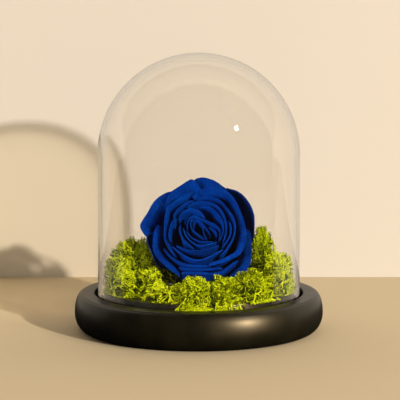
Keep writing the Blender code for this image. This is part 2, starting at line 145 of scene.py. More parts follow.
# Hip and stem, turned about the bloom's axis, and the sepals around them
HIP_TIP_RADIUS = 2.7 * MM
HIP_TOP_RADIUS = 7.6 * MM
HIP_EDGE = 0.8 * MM
HIP_RADIUS = 6.0 * MM
HIP_RADIUS_DEPTH = 3.6 * MM
HIP_DEPTH = 8.0 * MM
STEM_RADIUS = 2.4 * MM
STEM_SIDES = 40
STEM_BEND_RADIUS = 9.0 * MM
STEM_BEND_STEPS = 12
SEPALS = 5
SEPAL_LENGTH = 10.0 * MM
SEPAL_HALF_WIDTH = 3.0 * MM
SEPAL_TAPER = 0.9
SEPAL_TAPER_POWER = 1.5
SEPAL_THICKNESS = 0.55 * MM
SEPAL_DROOP = 2.2 * MM
SEPAL_DROOP_POWER = 3
SEPAL_TROUGH = 0.5 * MM
SEPAL_COLUMNS = 16
SEPAL_ROWS = 10

# The solids' clumps: flat feet and full sides
MOSS_FOOT = -0.45
MOSS_FULLNESS = 0.5
MOSS_LUMP = 0.1
MOSS_LUMP_SIZE = 1.4
MOSS_LUMP_SEED = 10

# Tufts of the moss: how far out their hearts lie, and those along the plinth's edge
FEWEST_TUFTS = 3
FIRST_SEED = 100
TUFT_DEPTHS = (0.6, 0.85)
HANG_SPACING = 0.7 * MM
HANG_RISE_MM = (0.4, 4.5)
EDGE_REACH = 1.5 * MM

# Branches of the moss: turns in radians, stretches in mm
BRANCH_SPREAD = 0.9
BRANCH_START_MM = (0.2, 0.8)
BRANCH_BEND = (0.1, 0.5)
STRETCH_MM = (0.7, 1.2)
TUFT_SPREAD = 0.25
FORKS = 2
FORK_CHANCE = 0.85
FORK_TURN = (0.6, 1.1)
STRAND_TAPER = 0.9
STRAND_TIP = 0.18 * MM
TIP_REACH = (0.9, 1.1)
RAGGED = 0.22
RAGGED_SIZE = 4.0 * MM

# Shares of a clump: beyond its solid, where it has narrowed to nothing, and its dark core of
# painted shade
OUTSIDE = 2.0
NARROWEST = 0.1
CORE_SHARE = 0.62
CORE_SHADE_LEVEL = 0.5
CORE_LUMP = 0.2
CORE_LUMPS = 5
CORE_SIDES = 48


class Petal(NamedTuple):
    """One petal, in mm along the bloom's axes: x to the right, y up, z to the viewer.

    top is the height of its rim, lip and curl the length and turn (in degrees) of its curved edge,
    belly how far it bulges near its foot, rim the points of its edge, counter-clockwise, and
    drops how far its first and its last corner sink.
    """

    top: float
    lip: float
    curl: float
    belly: float
    drops: tuple
    rim: tuple


class Clump(NamedTuple):
    """One clump of moss: its sector of the plinth, in degrees and radii, its height, how far it
    narrows towards its top, how densely and how stoutly it grows, how far its tips reach (1 at
    its solid's surface) and how far it hangs down between the plinth's edge and the glass.
    """

    name: str
    start: float
    end: float
    inner: float
    outer: float
    height: float
    peak: float
    growth: float
    stout: float
    reach: float
    hang: float


# From the heart outwards, read off the photograph
PETALS = (
    Petal(5.2, 0.9, 60, 0.45, (3, 3), (
        (6.6, -4.2), (5.1, -2.2), (3.4, 0.0), (1.8, 1.7), (-0.1, 2.4), (-1.6, 1.6), (-2.1, -0.1),
        (-1.7, -1.9),
    )),
    Petal(5.4, 0.7, 50, 0.45, (3, 3), (
        (2.7, -1.3), (3.0, -3.5), (3.6, -5.5), (4.7, -6.9),
    )),
    Petal(4.6, 0.8, 50, 0.46, (3, 3), (
        (10.0, -4.0), (8.8, -2.5), (7.1, -1.4), (5.4, -0.3),
    )),
    Petal(5.8, 1.1, 65, 0.28, (3, 3), (
        (-1.0, 3.2), (-2.4, 2.9), (-3.3, 1.6), (-3.4, -0.4), (-2.5, -2.8), (-0.7, -4.5),
        (1.7, -6.1), (3.6, -6.8),
    )),
    Petal(6.2, 1.1, 65, 0.5, (3, 3), (
        (11.4, -5.0), (11.6, -3.3), (10.8, -1.6), (8.7, 0.1), (6.0, 1.4), (3.5, 2.3), (1.5, 3.2),
        (-0.2, 4.1), (-2.0, 4.3), (-3.8, 3.2), (-4.9, 1.3), (-5.1, -0.8), (-4.6, -2.7),
    )),
    Petal(6.6, 1.2, 60, 0.65, (3, 3), (
        (-5.7, -2.6), (-5.1, -4.1), (-4.1, -5.7), (-2.4, -7.4), (0.1, -8.8), (3.0, -9.4),
        (5.9, -9.2), (8.1, -8.2),
    )),
    Petal(7.2, 1.5, 75, 0.68, (3, 3), (
        (-8.6, 0.1), (-8.9, -2.4), (-8.6, -5.3), (-7.2, -8.1), (-5.2, -10.2), (-3.3, -11.7),
        (-1.4, -12.4),
    )),
    Petal(7.0, 1.5, 70, 0.57, (3, 3), (
        (-7.1, -1.4), (-6.8, -3.5), (-5.9, -5.9), (-4.2, -8.4), (-1.9, -10.3), (0.4, -11.4),
        (2.9, -11.6), (5.8, -11.0), (8.0, -10.0), (9.8, -8.5),
    )),
    Petal(7.4, 1.9, 70, 0.58, (3, 3), (
        (4.1, 3.2), (2.9, 4.9), (0.9, 6.5), (-1.6, 7.5), (-4.2, 7.4), (-6.6, 6.3), (-8.4, 4.7),
        (-9.2, 2.5),
    )),
    Petal(7.2, 1.4, 50, 0.6, (3, 3), (
        (11.1, -8.0), (12.7, -5.1), (13.1, -1.8), (12.3, 2.0), (10.1, 5.4), (7.8, 7.5), (5.8, 8.6),
        (3.7, 9.1), (0.9, 9.0),
    )),
    Petal(7.6, 2.0, 60, 0.62, (3, 2), (
        (13.1, -8.7), (14.3, -5.5), (14.7, -2.1), (14.4, 1.0), (13.6, 3.6), (12.3, 6.2),
        (10.4, 8.6), (7.9, 10.1), (4.4, 11.0), (0.9, 11.2), (-2.1, 10.5), (-4.8, 9.0),
    )),
    Petal(7.0, 1.0, 30, 0.6, (2, 2), (
        (-10.1, -10.4), (-7.8, -12.2), (-5.0, -13.3), (-2.0, -13.9), (1.9, -13.7), (5.4, -13.0),
        (8.3, -11.9), (10.6, -10.6),
    )),
    Petal(7.0, 1.5, 55, 0.68, (3, 3), (
        (12.5, -11.3), (15.0, -8.8), (16.5, -5.8), (16.9, -2.8), (16.3, 0.3), (15.0, 2.8),
    )),
    Petal(6.6, 2.4, 70, 0.66, (2, 1.5), (
        (-10.7, 3.7), (-12.5, 1.0), (-13.6, -2.0), (-14.0, -5.6), (-13.4, -8.5),
    )),
    Petal(6.8, 1.8, 60, 0.67, (1.5, 2), (
        (-1.6, 12.1), (-3.8, 11.6), (-6.4, 10.1), (-8.8, 8.2), (-10.7, 6.1), (-11.8, 4.1),
    )),
    Petal(6.0, 2.6, 65, 0.64, (3, 1.5), (
        (11.5, -15.4), (13.8, -13.8), (16.0, -11.3), (17.6, -8.4), (18.6, -5.5), (19.0, -2.5),
        (18.9, 0.2), (18.1, 3.3), (16.2, 6.4), (14.2, 9.1), (12.7, 11.0), (10.8, 12.6), (8.9, 13.5),
        (5.9, 14.2), (2.9, 14.2), (-0.1, 13.4),
    )),
    Petal(6.2, 2.2, 70, 0.67, (3, 3), (
        (-12.3, -10.7), (-10.2, -13.5), (-7.7, -15.7), (-5.2, -17.2), (-2.8, -18.4), (0.2, -18.9),
        (2.9, -18.6), (5.9, -17.3), (8.5, -15.9), (11.1, -13.9), (12.9, -12.3),
    )),
    Petal(3.8, 6.6, 75, 0.86, (0.5, 0.5), (
        (6.1, -20.5), (9.8, -19.7), (13.8, -18.4), (17.2, -17.0), (20.5, -15.1), (22.9, -11.8),
        (23.9, -7.6), (24.2, -2.9), (23.3, 1.5), (22.2, 5.2), (20.9, 8.5), (19.4, 11.9),
        (17.6, 15.0), (14.6, 17.6), (10.4, 19.2), (6.1, 19.7), (2.9, 18.9), (-0.1, 17.2),
        (-2.5, 14.9),
    )),
    Petal(4.6, 3.4, 80, 0.74, (4, 1.5), (
        (-1.3, 18.0), (-3.3, 17.0), (-6.8, 15.3), (-11.5, 12.1), (-14.8, 9.3), (-15.7, 5.7),
        (-16.3, 1.2), (-16.3, -3.9), (-16.1, -7.3), (-14.9, -10.2), (-13.1, -13.2), (-10.8, -15.8),
    )),
    Petal(2.4, 3.2, 85, 0.76, (3, 1), (
        (-16.6, -10.4), (-15.3, -13.3), (-12.9, -16.1), (-10.0, -18.6), (-6.8, -20.0),
        (-3.1, -20.6), (0.7, -20.8), (4.4, -20.6), (6.9, -20.2),
    )),
    Petal(1.8, 2.6, 85, 0.86, (2, 1), (
        (-9.0, -20.2), (-6.5, -21.5), (-3.5, -22.0), (0.7, -22.2), (4.4, -22.2), (7.8, -22.0),
        (10.6, -21.5), (12.5, -21.0),
    )),
    Petal(0.6, 8.4, 75, 0.76, (2.5, 1), (
        (1.9, 20.2), (0.4, 22.4), (-1.0, 23.7), (-2.8, 24.6), (-5.0, 23.5), (-8.5, 21.3),
        (-11.6, 19.3), (-13.5, 17.8), (-14.8, 15.3), (-15.7, 12.4), (-16.2, 9.6),
    )),
    Petal(1.4, 3.4, 85, 0.8, (2, 1), (
        (-7.7, -23.2), (-4.5, -23.7), (-0.6, -24.0), (2.9, -24.2), (6.4, -24.4), (9.8, -24.4),
        (12.5, -23.7), (15.0, -21.9), (17.5, -19.8), (20.2, -17.1),
    )),
    Petal(-0.6, 5.2, 115, 0.77, (1.5, 2), (
        (-19.4, 2.7), (-20.9, -0.5), (-21.7, -5.2), (-21.8, -9.8), (-20.6, -13.4), (-17.3, -17.3),
        (-13.4, -20.6), (-9.5, -23.0),
    )),
    Petal(-1.6, 8.6, 70, 0.76, (2.5, 3), (
        (16.1, 18.8), (14.4, 20.8), (12.1, 22.3), (9.6, 24.1), (6.6, 25.4), (3.0, 26.2),
        (0.4, 25.9), (-1.7, 25.0), (-3.8, 23.2),
    )),
    Petal(-3.2, 10.4, 80, 0.78, (2, 0.5), (
        (-10.5, 20.2), (-14.3, 19.7), (-18.7, 17.3), (-22.0, 14.0), (-24.4, 9.5), (-26.7, 5.9),
        (-28.1, 3.1), (-27.9, 1.2), (-26.7, -1.0), (-25.2, -2.9),
    )),
    Petal(-4.6, 2.0, 40, 0.76, (1, 2), (
        (-20.9, 0.0), (-23.4, -0.8), (-25.0, -3.0), (-24.2, -6.3), (-23.0, -9.1), (-21.3, -12.6),
    )),
    Petal(-3.2, 6.4, 110, 0.72, (2, 4), (
        (13.3, -24.4), (15.5, -25.7), (17.2, -26.4), (19.8, -24.2), (23.7, -21.0), (26.1, -16.8),
        (26.7, -12.0), (26.7, -7.0), (26.6, -2.5), (26.4, 2.0),
    )),
    Petal(-1.4, 2.4, 30, 0.81, (3, 1), (
        (27.9, -3.3), (28.2, 0.6), (28.3, 4.0), (28.1, 7.4), (26.4, 12.3), (23.4, 16.6),
        (20.1, 19.2), (17.1, 20.3), (14.6, 21.2),
    )),
)

MOSS_CLUMPS = (
    Clump("moss_right_edge", -26, 9, 32.0 * MM, 47.2 * MM, 18.5 * MM, 0.1, 1.3, 1.0, 1.15, 0),
    Clump("moss_right_tall", 10, 45, 24.5 * MM, 47.2 * MM, 30.0 * MM, 0.55, 1.2, 0.9, 0.95, 0),
    Clump("moss_back_right", 46, 84, 29.0 * MM, 46.8 * MM, 19.0 * MM, 0.2, 0.8, 1.0, 1.15, 0),
    Clump("moss_back", 96, 129, 28.0 * MM, 46.8 * MM, 17.0 * MM, 0.1, 0.7, 1.0, 1.15, 0),
    Clump("moss_back_left", 130, 176, 25.0 * MM, 47.2 * MM, 22.5 * MM, 0.0, 1.3, 0.9, 1.15, 0),
    Clump("moss_left_edge", 177, 214, 34.0 * MM, 47.2 * MM, 17.0 * MM, 0.1, 1.3, 1.0, 1.15, 0),
    Clump("moss_left_middle", 178, 217, 18.0 * MM, 33.4 * MM, 12.0 * MM, 0.2, 1.6, 1.1, 1.2, 0),
    Clump("moss_front_left", 230, 256, 29.0 * MM, 44.5 * MM, 6.5 * MM, 0.0, 0.8, 1.3, 1.4, 0),
    Clump("moss_front", 257, 278, 27.0 * MM, 47.0 * MM, 12.0 * MM, 0.0, 3.2, 1.2, 1.1, 3.2 * MM),
    Clump(
        "moss_front_right", 279, 299, 26.8 * MM, 47.0 * MM, 12.0 * MM, 0.0, 3.2, 1.1, 1.1, 3.0 * MM
    ),
    Clump("moss_right", 300, 325, 27.5 * MM, 47.0 * MM, 14.5 * MM, 0.1, 1.8, 1.0, 1.05, 0.8 * MM),
    Clump("moss_right_middle", 326, 369, 20.5 * MM, 31.4 * MM, 8.0 * MM, 0.0, 1.4, 1.0, 1.1, 0),
    Clump("moss_under_bloom", 222, 324, 12.0 * MM, 26.2 * MM, 6.0 * MM, 0.0, 1.4, 1.1, 1.35, 0),
)


def colour(hex_value):
    """Linear RGBA of an sRGB hex colour."""
    channels = [int(hex_value[i : i + 2], 16) / 255 for i in (1, 3, 5)]
    linear = [c / 12.92 if c <= 0.04045 else ((c + 0.055) / 1.055) ** 2.4 for c in channels]
    return (*linear, 1.0)


def add_node(tree, kind, inputs=None, **settings):
    """Adds a node with its settings; each input is a value or the socket that feeds it."""
    made = tree.nodes.new(kind)
    for key, value in settings.items():
        setattr(made, key, value)
    for key, value in (inputs or {}).items():
        if isinstance(value, bpy.types.NodeSocket):
            tree.links.new(value, made.inputs[key])
        else:
            made.inputs[key].default_value = value
    return made


def new_material(name):
    """An empty node material, with its output."""
    material = bpy.data.materials.new(name)
    material.use_nodes = True
    tree = material.node_tree
    tree.nodes.clear()
    return material, tree, add_node(tree, "ShaderNodeOutputMaterial")


def ramp(tree, factor, *stops):
    """A colour ramp from (position, hex colour) stops."""
    made = add_node(tree, "ShaderNodeValToRGB", {"Fac": factor})
    steps = made.color_ramp.elements
    while len(steps) < len(stops):
        steps.new(1.0)
    for step, (position, value) in zip(steps, stops):
        step.position = position
        step.color = colour(value)
    return made.outputs["Color"]


def calculate(tree, operation, first, second):
    """The result of one calculation on two values or sockets."""
    made = add_node(tree, "ShaderNodeMath", {0: first, 1: second}, operation=operation)
    return made.outputs["Value"]


def mottle(tree, size, detail):
    """A noise pattern over a piece, whose patches are size mm wide."""
    place = add_node(tree, "ShaderNodeTexCoord").outputs["Object"]
    inputs = {"Vector": place, "Scale": 1 / (size * MM), "Detail": detail}
    return add_node(tree, "ShaderNodeTexNoise", inputs).outputs["Fac"]


def bumped(tree, height, strength, depth, normal=None):
    """A normal that follows a pattern depth mm deep, on top of another normal if there is one."""
    inputs = {"Height": height, "Strength": strength, "Distance": depth * MM}
    if normal:
        inputs["Normal"] = normal
    return add_node(tree, "ShaderNodeBump", inputs).outputs["Normal"]


def paint(tree, output, inputs):
    """Sets a principled surface, and returns its shader for a mix that takes its place."""
    shader = add_node(tree, "ShaderNodeBsdfPrincipled", inputs)
    tree.links.new(shader.outputs["BSDF"], output.inputs["Surface"])
    return shader.outputs["BSDF"]


def finish_piece(piece, node):
    """Every piece rides with the one body and stands for its solid."""
    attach(piece, "root")
    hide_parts(node)
    return piece


def add_object(name, mesh, material, sharp=radians(40)):
    """Turns a bmesh into a named object, shaded smooth up to an angle."""
    data = bpy.data.meshes.new(name)
    mesh.to_mesh(data)
    mesh.free()
    data.materials.append(material)
    data.shade_smooth()
    data.set_sharp_from_angle(angle=sharp)
    piece = bpy.data.objects.new(name, data)
    bpy.context.scene.collection.objects.link(piece)
    return piece


def turned(name, profile, segments, material):
    """A turned piece: its profile starts and ends on the axis, with the outside on the left."""
    mesh = bmesh.new()
    verts = [mesh.verts.new((radius, 0, height)) for radius, height in profile]
    edges = [mesh.edges.new(pair) for pair in zip(verts, verts[1:])]
    bmesh.ops.spin(
        mesh,
        geom=verts + edges,
        cent=(0, 0, 0),
        axis=(0, 0, 1),
        angle=2 * pi,
        steps=segments,
        use_merge=True,
    )
    bmesh.ops.remove_doubles(mesh, verts=mesh.verts, dist=1e-6)
    bmesh.ops.recalc_face_normals(mesh, faces=mesh.faces)
    return add_object(name, mesh, material)


def arc(centre, radius, start, end, steps):
    """Points of an arc in the profile's plane, with its angles in degrees."""
    turns = [radians(start + (end - start) * step / steps) for step in range(steps + 1)]
    return [(centre[0] + radius * cos(a), centre[1] + radius * sin(a)) for a in turns]


def black_lacquer(settings):
    """Turned wood under sprayed black satin lacquer: near black, warm in its broad soft glints."""
    material, tree, output = new_material("black_satin_lacquer")
    dust = mottle(tree, 11.1, 4.0)
    smoothest, roughest = settings.roughness - 0.04, settings.roughness + 0.05
    rough = add_node(
        tree, "ShaderNodeMapRange", {"Value": dust, "To Min": smoothest, "To Max": roughest}
    )
    paint(tree, output, {
        "Base Color": ramp(tree, dust, (0.35, "#0a0a05"), (0.7, "#13120b")),
        "Roughness": rough.outputs["Result"],
        "Normal": bumped(tree, mottle(tree, 1.11, 2.0), 0.05, 0.2),
        "IOR": 1.5,
        "Specular IOR Level": 0.5,
    })
    return material


def blown_glass(settings):
    """Clear blown soda glass: polished, faintly warm, and lamps reach what is inside."""
    material, tree, output = new_material("clear_blown_glass")
    polished = paint(tree, output, {
        "Base Color": settings.tint[:],
        "Roughness": 0.0,
        "IOR": GLASS_IOR,
        "Transmission Weight": 1.0,
    })
    # Where a lamp's light grazes the skin, more of it is turned away and the shadow is darker
    grazing = add_node(tree, "ShaderNodeLayerWeight", {"Blend": 0.5}).outputs["Facing"]
    turned_away = calculate(tree, "POWER", grazing, GRAZING_POWER)
    passed = add_node(
        tree,
        "ShaderNodeMix",
        {"Factor": turned_away, "A": settings.shade[:], "B": colour("#000000")},
        data_type="RGBA",
    )
    clear = add_node(tree, "ShaderNodeBsdfTransparent", {"Color": passed.outputs["Result"]})
    path = add_node(tree, "ShaderNodeLightPath")
    both = add_node(
        tree,
        "ShaderNodeMixShader",
        {0: path.outputs["Is Shadow Ray"], 1: polished, 2: clear.outputs["BSDF"]},
    )
    tree.links.new(both.outputs["Shader"], output.inputs["Surface"])
    return material


def velvet_petal(settings):
    """A preserved petal: dyed royal blue and softened with glycerine, matt with a velvet sheen."""
    material, tree, output = new_material("preserved_blue_petal")
    across = add_node(tree, "ShaderNodeUVMap", uv_map="petal").outputs["UV"]
    # Veins run from foot to rim: many patches across a petal, few along it
    stretched = add_node(
        tree, "ShaderNodeMapping", {"Vector": across, "Scale": (46.0, 3.2, 1.0)}
    ).outputs["Vector"]
    veins = add_node(
        tree,
        "ShaderNodeTexNoise",
        {"Vector": stretched, "Scale": 1.0, "Detail": 3.0, "Roughness": 0.6, "Distortion": 0.25},
    ).outputs["Fac"]
    clouds = mottle(tree, 9.09, 3.0)
    half = calculate(tree, "MULTIPLY", calculate(tree, "ADD", veins, clouds), 0.5)
    dye = add_node(
        tree, "ShaderNodeMapRange", {"Value": half, "From Min": 0.35, "From Max": 0.65}
    )
    tint = add_node(
        tree,
        "ShaderNodeMix",
        {"Factor": dye.outputs["Result"], "A": settings.dark[:], "B": settings.light[:]},
        data_type="RGBA",
    )
    relief = bumped(tree, veins, 0.35, 0.4)
    paint(tree, output, {
        "Base Color": tint.outputs["Result"],
        "Roughness": 0.72,
        "Diffuse Roughness": 1.0,
        "Normal": bumped(tree, mottle(tree, 0.714, 2.0), 0.25, 0.1, relief),
        "IOR": 1.4,
        "Specular IOR Level": 0.06,
        "Sheen Weight": 0.04,
        "Sheen Roughness": 0.45,
        "Sheen Tint": settings.sheen[:],
    })
    return material


def rose_green():
    """Hip, stem and sepals: preserved plant skin, olive green, matt, finely grained."""
    material, tree, output = new_material("preserved_rose_green")
    grain = mottle(tree, 2.38, 4.0)
    tint = ramp(tree, grain, (0.3, "#39471c"), (0.55, "#55642a"), (0.8, "#6f7a3a"))
    relief = bumped(tree, grain, 0.3, 0.3)
    paint(tree, output, {"Base Color": tint, "Roughness": 0.6, "Normal": relief})
    return material


def reindeer_moss(settings):
    """Preserved reindeer moss: dyed chartreuse, matt, with painted shade, darker and more olive,
    deep in the cushion and painted light on its tips.
    """
    material, tree, output = new_material("preserved_reindeer_moss")
    depth = add_node(tree, "ShaderNodeAttribute", attribute_name="depth").outputs["Fac"]
    patches = mottle(tree, 6.25, 3.0)
    shift = add_node(
        tree, "ShaderNodeMapRange", {"Value": patches, "To Min": -0.16, "To Max": 0.16}
    ).outputs["Result"]
    level = calculate(tree, "ADD", depth, shift)
    # Painted shade and light: the ramp runs from the deep colour inside the cushion to the lighter
    # tip colour on its outside
    tint = add_node(tree, "ShaderNodeValToRGB", {"Fac": level})
    steps = tint.color_ramp.elements
    steps[0].position, steps[0].color = 0.5, settings.deep[:]
    steps[1].position, steps[1].color = 1.0, settings.lit_tip[:]
    middle = steps.new(0.78)
    middle.color = settings.branch[:]
    paint(tree, output, {
        "Base Color": tint.outputs["Color"],
        "Roughness": 0.8,
        "Diffuse Roughness": 1.0,
        "Specular IOR Level": 0.1,
    })
    return material


def base_profile():
    """The base's section: underside, bulging side, ridge, groove and plinth with eased edges."""
    ease = EDGE_EASE
    foot = arc((BASE_FOOT_RADIUS - ease, ease), ease, -90, -45, EDGE_STEPS)
    lower = []
    for step in range(1, SIDE_STEPS + 1):
        turn = pi / 2 * (1 - step / SIDE_STEPS)
        spread = (BASE_SIDE_RADIUS - BASE_FOOT_RADIUS) * cos(turn) ** SIDE_FULLNESS
        lower.append((BASE_FOOT_RADIUS + spread, BASE_SIDE_HEIGHT * (1 - sin(turn))))
    lower = [point for point in lower if point[1] > foot[-1][1]]
    upper = []
    rise = BASE_RIDGE_HEIGHT - BASE_SIDE_HEIGHT
    for step in range(1, SIDE_STEPS + 1):
        turn = RIDGE_TURN * step / SIDE_STEPS
        spread = (BASE_SIDE_RADIUS - BASE_RIDGE_RADIUS) * cos(turn) ** SIDE_FULLNESS
        upper.append((BASE_RIDGE_RADIUS + spread, BASE_SIDE_HEIGHT + rise * sin(turn)))
    ridge_middle = (BASE_RIDGE_RADIUS - RIDGE_INSET, BASE_RIDGE_HEIGHT - RIDGE_ROUND)
    ridge = arc(ridge_middle, RIDGE_ROUND, 35, 92, EDGE_STEPS)
    upper = [point for point in upper if point[1] < ridge[0][1]]
    inner_middle = (GROOVE_OUTER_RADIUS + ease, GROOVE_EDGE_HEIGHT - ease)
    groove = [
        *arc(inner_middle, ease, 90, 180, EDGE_STEPS),
        (GROOVE_OUTER_RADIUS, GROOVE_FLOOR_HEIGHT),
        (PLINTH_RADIUS, GROOVE_FLOOR_HEIGHT),
    ]
    plinth = arc((PLINTH_RADIUS - ease, PLINTH_HEIGHT - ease), ease, 0, 90, EDGE_STEPS)
    return [(0, 0), *foot, *lower, *upper, *ridge, *groove, *plinth, (0, PLINTH_HEIGHT)]


def glass_profile():
    """The bell's section: down the outer skin, round the polished rim and up the inner skin."""
    inner_radius = GLASS_RADIUS - GLASS_WALL
    rim_radius = GLASS_WALL / 2
    shoulder = (0, GLASS_SHOULDER_HEIGHT)
    outer = arc(shoulder, GLASS_RADIUS, 90, 0, GLASS_ARC_STEPS)
    inner = arc(shoulder, inner_radius, 0, 90, GLASS_ARC_STEPS)
    rim_middle = (GLASS_RADIUS - rim_radius, GLASS_FOOT + rim_radius)
    rim = arc(rim_middle, rim_radius, 0, -180, GLASS_RIM_STEPS)
    outer[0] = (0, outer[0][1])
    inner[-1] = (0, inner[-1][1])
    return [*outer, *rim, *inner]


def spline_point(corners, share):
    """Point of a Catmull-Rom curve through the corners, share running from 0 to 1 by length."""
    lengths = [(b - a).length for a, b in zip(corners, corners[1:])]
    goal = share * sum(lengths)
    index = 0
    while index < len(lengths) - 1 and goal > lengths[index]:
        goal -= lengths[index]
        index += 1
    t = goal / lengths[index]
    p1, p2 = corners[index], corners[index + 1]
    p0 = corners[index - 1] if index else 2 * p1 - p2
    p3 = corners[index + 2] if index + 2 < len(corners) else 2 * p2 - p1
    return 0.5 * (
        2 * p1
        + (p2 - p0) * t
        + (2 * p0 - 5 * p1 + 4 * p2 - p3) * t**2
        + (3 * p1 - p0 - 3 * p2 + p3) * t**3
    )


def petal_column(petal, order, u):
    """Points of one column of a petal, from foot to rim, as a function of v (0 to 1)."""
    corners = [Vector(corner) * MM for corner in petal.rim]
    share = (u + 1) / 2
    rim = spline_point(corners, share)
    ahead = spline_point(corners, min(1, share + TANGENT_SPAN))
    tangent = ahead - spline_point(corners, max(0, share - TANGENT_SPAN))
    outwards = Vector((tangent.y, -tangent.x)).normalized()
    seed = Vector((order * PETAL_SEED, 0, 0))
    waver = noise.noise(Vector((u * CURL_WAVES, 0, 1.0)) + seed)
    ripple = noise.noise(Vector((u * RIM_RIPPLES, 0, 5.0)) + seed)

    curl = radians(petal.curl) * (1 + CURL_WAVER * waver)
    bend = petal.lip * MM * (1 - LIP_TAPER * abs(u) ** LIP_TAPER_POWER) / curl
    crest = rim - outwards * bend * (1 - cos(curl))
    drop = petal.drops[u > 0] * abs(u) ** DROP_POWER - RIM_RIPPLE * ripple
    crest_height = (petal.top - drop) * MM - bend * sin(min(curl, pi / 2))

    foot_radius = FOOT_FIRST_RADIUS + FOOT_SPACING * order
    foot_height = FOOT_HEIGHT - FOOT_SLOPE * (foot_radius - FOOT_FIRST_RADIUS)
    middle = spline_point(corners, 0.5)
    heading = atan2(middle.y, middle.x)
    foot_turn = (order % 3 - 1) * FOOT_TURN + u * FOOT_HALF_WIDTH
    crest_turn = crest.angle_signed(middle)
    radius, rise = crest.length, crest_height - foot_height
    # Radius, turn and height go together along the wall, so that petals lie in each other
    curve = (
        Vector((foot_radius, foot_turn, foot_height)),
        Vector((
            foot_radius + petal.belly * (radius - foot_radius),
            foot_turn + TURN_EASE * (crest_turn - foot_turn),
            foot_height + BELLY_RISE * rise,
        )),
        Vector((radius, crest_turn, foot_height + CREST_RISE * rise)),
        Vector((radius, crest_turn, crest_height)),
    )

    def place(v):
        if v < LIP_FROM:
            along = v / LIP_FROM
            rest = 1 - along
            weights = (rest**3, 3 * rest**2 * along, 3 * rest * along**2, along**3)
            parts = (weight * point for weight, point in zip(weights, curve))
            at_radius, turn, height = sum(parts, Vector((0, 0, 0)))
            turn += heading
            return Vector((at_radius * cos(turn), at_radius * sin(turn), height))
        angle = curl * (v - LIP_FROM) / (1 - LIP_FROM)
        side = outwards * bend * (1 - cos(angle))
        return Vector((*(crest + side), crest_height + bend * sin(angle)))

    return place


def bloom_matrix(settings):
    """Turns the bloom's axis from +Z to the viewer, a little upwards."""
    centre = Matrix.Translation(settings.centre)
    return centre @ Matrix.Rotation(pi / 2 - settings.rise, 4, "X")


def add_sheet(name, columns, rows, column_at, thickness, material, matrix):
    """A thin sheet from a grid: column_at gives, for u (-1 to 1), the points for v (0 to 1)."""
    mesh = bmesh.new()
    mesh.loops.layers.uv.new("petal")
    bmesh.ops.create_grid(mesh, x_segments=columns, y_segments=rows, size=1, calc_uvs=True)
    places = [column_at(2 * step / columns - 1) for step in range(columns + 1)]
    for vert in mesh.verts:
        step = round((vert.co.x + 1) / 2 * columns)
        vert.co = places[step]((vert.co.y + 1) / 2)
    mesh.transform(matrix)
    piece = add_object(name, mesh, material, radians(75))
    wall = piece.modifiers.new("wall", "SOLIDIFY")
    wall.thickness = thickness
    wall.offset = 0
    return piece


def sepal_column(u):
    """Points across a sepal at one place along it, as a function of v (0 to 1)."""
    along = (u + 1) / 2
    width = SEPAL_HALF_WIDTH * (1 - SEPAL_TAPER * along**SEPAL_TAPER_POWER)
    radius = HIP_TOP_RADIUS + 2 * GAP + SEPAL_LENGTH * along
    foot = FOOT_HEIGHT - FOOT_SLOPE * HIP_TOP_RADIUS - PETAL_CLEARANCE
    height = foot - SEPAL_DROOP * along**SEPAL_DROOP_POWER

    def place(v):
        across = 2 * v - 1
        return Vector((radius, width * across, height + SEPAL_TROUGH * across**2))

    return place


def stem_mesh(matrix, rise):
    """The hip about the bloom's axis, and the stem that bends down from it to the plinth."""
    top = FOOT_HEIGHT - PETAL_CLEARANCE
    shoulder = top - FOOT_SLOPE * HIP_TOP_RADIUS
    end = shoulder - HIP_DEPTH
    rings = (
        (HIP_TIP_RADIUS, top - FOOT_SLOPE * HIP_TIP_RADIUS),
        (HIP_TOP_RADIUS, shoulder),
        (HIP_TOP_RADIUS, shoulder - HIP_EDGE),
        (HIP_RADIUS, shoulder - HIP_RADIUS_DEPTH),
        (STEM_RADIUS, end),
    )
    places = [
        matrix @ Matrix.Translation((0, 0, height)) @ Matrix.Scale(radius, 4)
        for radius, height in rings
    ]
    bend = matrix @ Matrix.Translation((0, -STEM_BEND_RADIUS, end))
    arm = Matrix.Translation((0, STEM_BEND_RADIUS, 0)) @ Matrix.Scale(STEM_RADIUS, 4)
    for step in range(1, STEM_BEND_STEPS + 1):
        lean = Matrix.Rotation((rise - pi / 2) * step / STEM_BEND_STEPS, 4, "X")
        places.append(bend @ lean @ arm)
    foot = places[-1].copy()
    foot.translation.z = PLINTH_HEIGHT + GAP
    places.append(foot)

    mesh = bmesh.new()
    bmesh.ops.create_circle(
        mesh, cap_ends=True, segments=STEM_SIDES, radius=1, matrix=places[0]
    )
    edges = mesh.edges[:]
    for before, after in zip(places, places[1:]):
        grown = bmesh.ops.extrude_edge_only(mesh, edges=edges)["geom"]
        verts = [each for each in grown if isinstance(each, bmesh.types.BMVert)]
        sides = [each for each in grown if isinstance(each, bmesh.types.BMEdge)]
        edges = [edge for edge in sides if edge.is_boundary]
        bmesh.ops.transform(mesh, matrix=after @ before.inverted(), verts=verts)
    bmesh.ops.holes_fill(mesh, edges=edges)
    bmesh.ops.recalc_face_normals(mesh, faces=mesh.faces)
    return mesh


def fuller(share):
    """Pushes a unit sphere's coordinate outwards, towards a box's."""
    return share if share == 0 else share / abs(share) * abs(share) ** MOSS_FULLNESS


def flatter(share):
    """Undoes fuller."""
    return share if share == 0 else share / abs(share) * abs(share) ** (1 / MOSS_FULLNESS)


def blend(low, high, share):
    """Value between low and high for a share that runs from -1 to 1."""
    return (low + high) / 2 + share * (high - low) / 2


